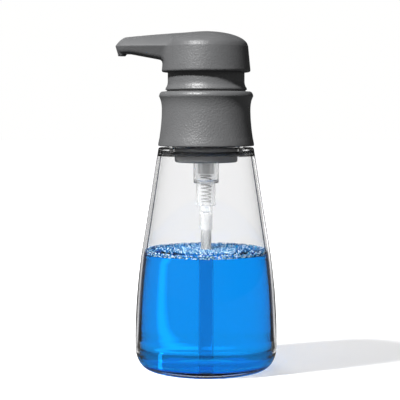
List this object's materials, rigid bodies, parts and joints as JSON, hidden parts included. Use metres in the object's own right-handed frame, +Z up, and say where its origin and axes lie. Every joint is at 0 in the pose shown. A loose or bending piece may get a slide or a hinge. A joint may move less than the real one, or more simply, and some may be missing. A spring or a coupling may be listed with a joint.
{
  "type": "soap pump dispenser",
  "caption": "Tapered clear bottle of liquid soap with a waisted screw-on collar and a spring-return pump whose round head carries a long spout.",
  "frame": {"origin": "middle of the flat base, on the pump's axis, where the bottle stands", "axes": "+Z up along the pump's axis, -X along the spout, +Y to the right of the spout as seen from behind it"},
  "size_m": [0.0891, 0.0786, 0.1857],
  "materials": {
    "clear_glass": "polished clear glass",
    "blue_soap": "clear blue liquid soap",
    "grey_plastic": "satin grey moulded plastic",
    "clear_plastic": "natural clear moulded plastic",
    "milky_plastic": "translucent white moulded plastic",
    "dark_rubber": "dark silicone",
    "steel": "bright spring steel"
  },
  "bodies": {
    "bottle": {"bottle": "clear_glass", "soap": "blue_soap"},
    "pump_insert": {"pump_well": "grey_plastic", "well_seal": "dark_rubber", "rim_gasket": "dark_rubber", "neck_sleeve": "grey_plastic", "pump_housing": "clear_plastic", "housing_gasket": "dark_rubber", "housing_cap": "milky_plastic", "dip_tube": "milky_plastic", "spring": "steel"},
    "collar": {"collar": "grey_plastic"},
    "plunger": {"piston_stem": "milky_plastic", "piston_seal": "dark_rubber"},
    "pump_head": {"stem": "milky_plastic", "head_shell": "grey_plastic", "head_core": "milky_plastic", "spout_tube": "milky_plastic", "nozzle": "dark_rubber"},
    "inlet_ball": {"inlet_ball": "clear_glass"},
    "outlet_ball": {"outlet_ball": "steel"}
  },
  "joints": [
    {"name": "insert_rise", "type": "slide", "parent": "bottle", "child": "pump_insert", "axis": [0, 0, 1], "range_m": [0, 0.005]},
    {"name": "collar_turn", "type": "hinge", "parent": "pump_insert", "child": "collar", "pos_m": [0, 0, 0.138], "axis": [0, 0, 1], "range_deg": [0, 360]},
    {"name": "head_press", "type": "slide", "parent": "pump_insert", "child": "plunger", "axis": [0, 0, -1], "range_m": [0, 0.01], "stiffness_N_per_m": 1070, "springref_m": -0.008, "deforming": ["spring"]},
    {"name": "head_turn", "type": "hinge", "parent": "plunger", "child": "pump_head", "pos_m": [0, 0, 0.165], "axis": [0, 0, 1], "continuous": true},
    {"name": "inlet_lift", "type": "slide", "parent": "pump_insert", "child": "inlet_ball", "axis": [0, 0, 1], "range_m": [0, 0.0011]},
    {"name": "outlet_lift", "type": "slide", "parent": "pump_head", "child": "outlet_ball", "axis": [0, 0, 1], "range_m": [0, 0.0014]}
  ],
  "couplings": [
    {"joint": "insert_rise", "follows": "collar_turn", "m_per_rad": 0.00079577}
  ]
}
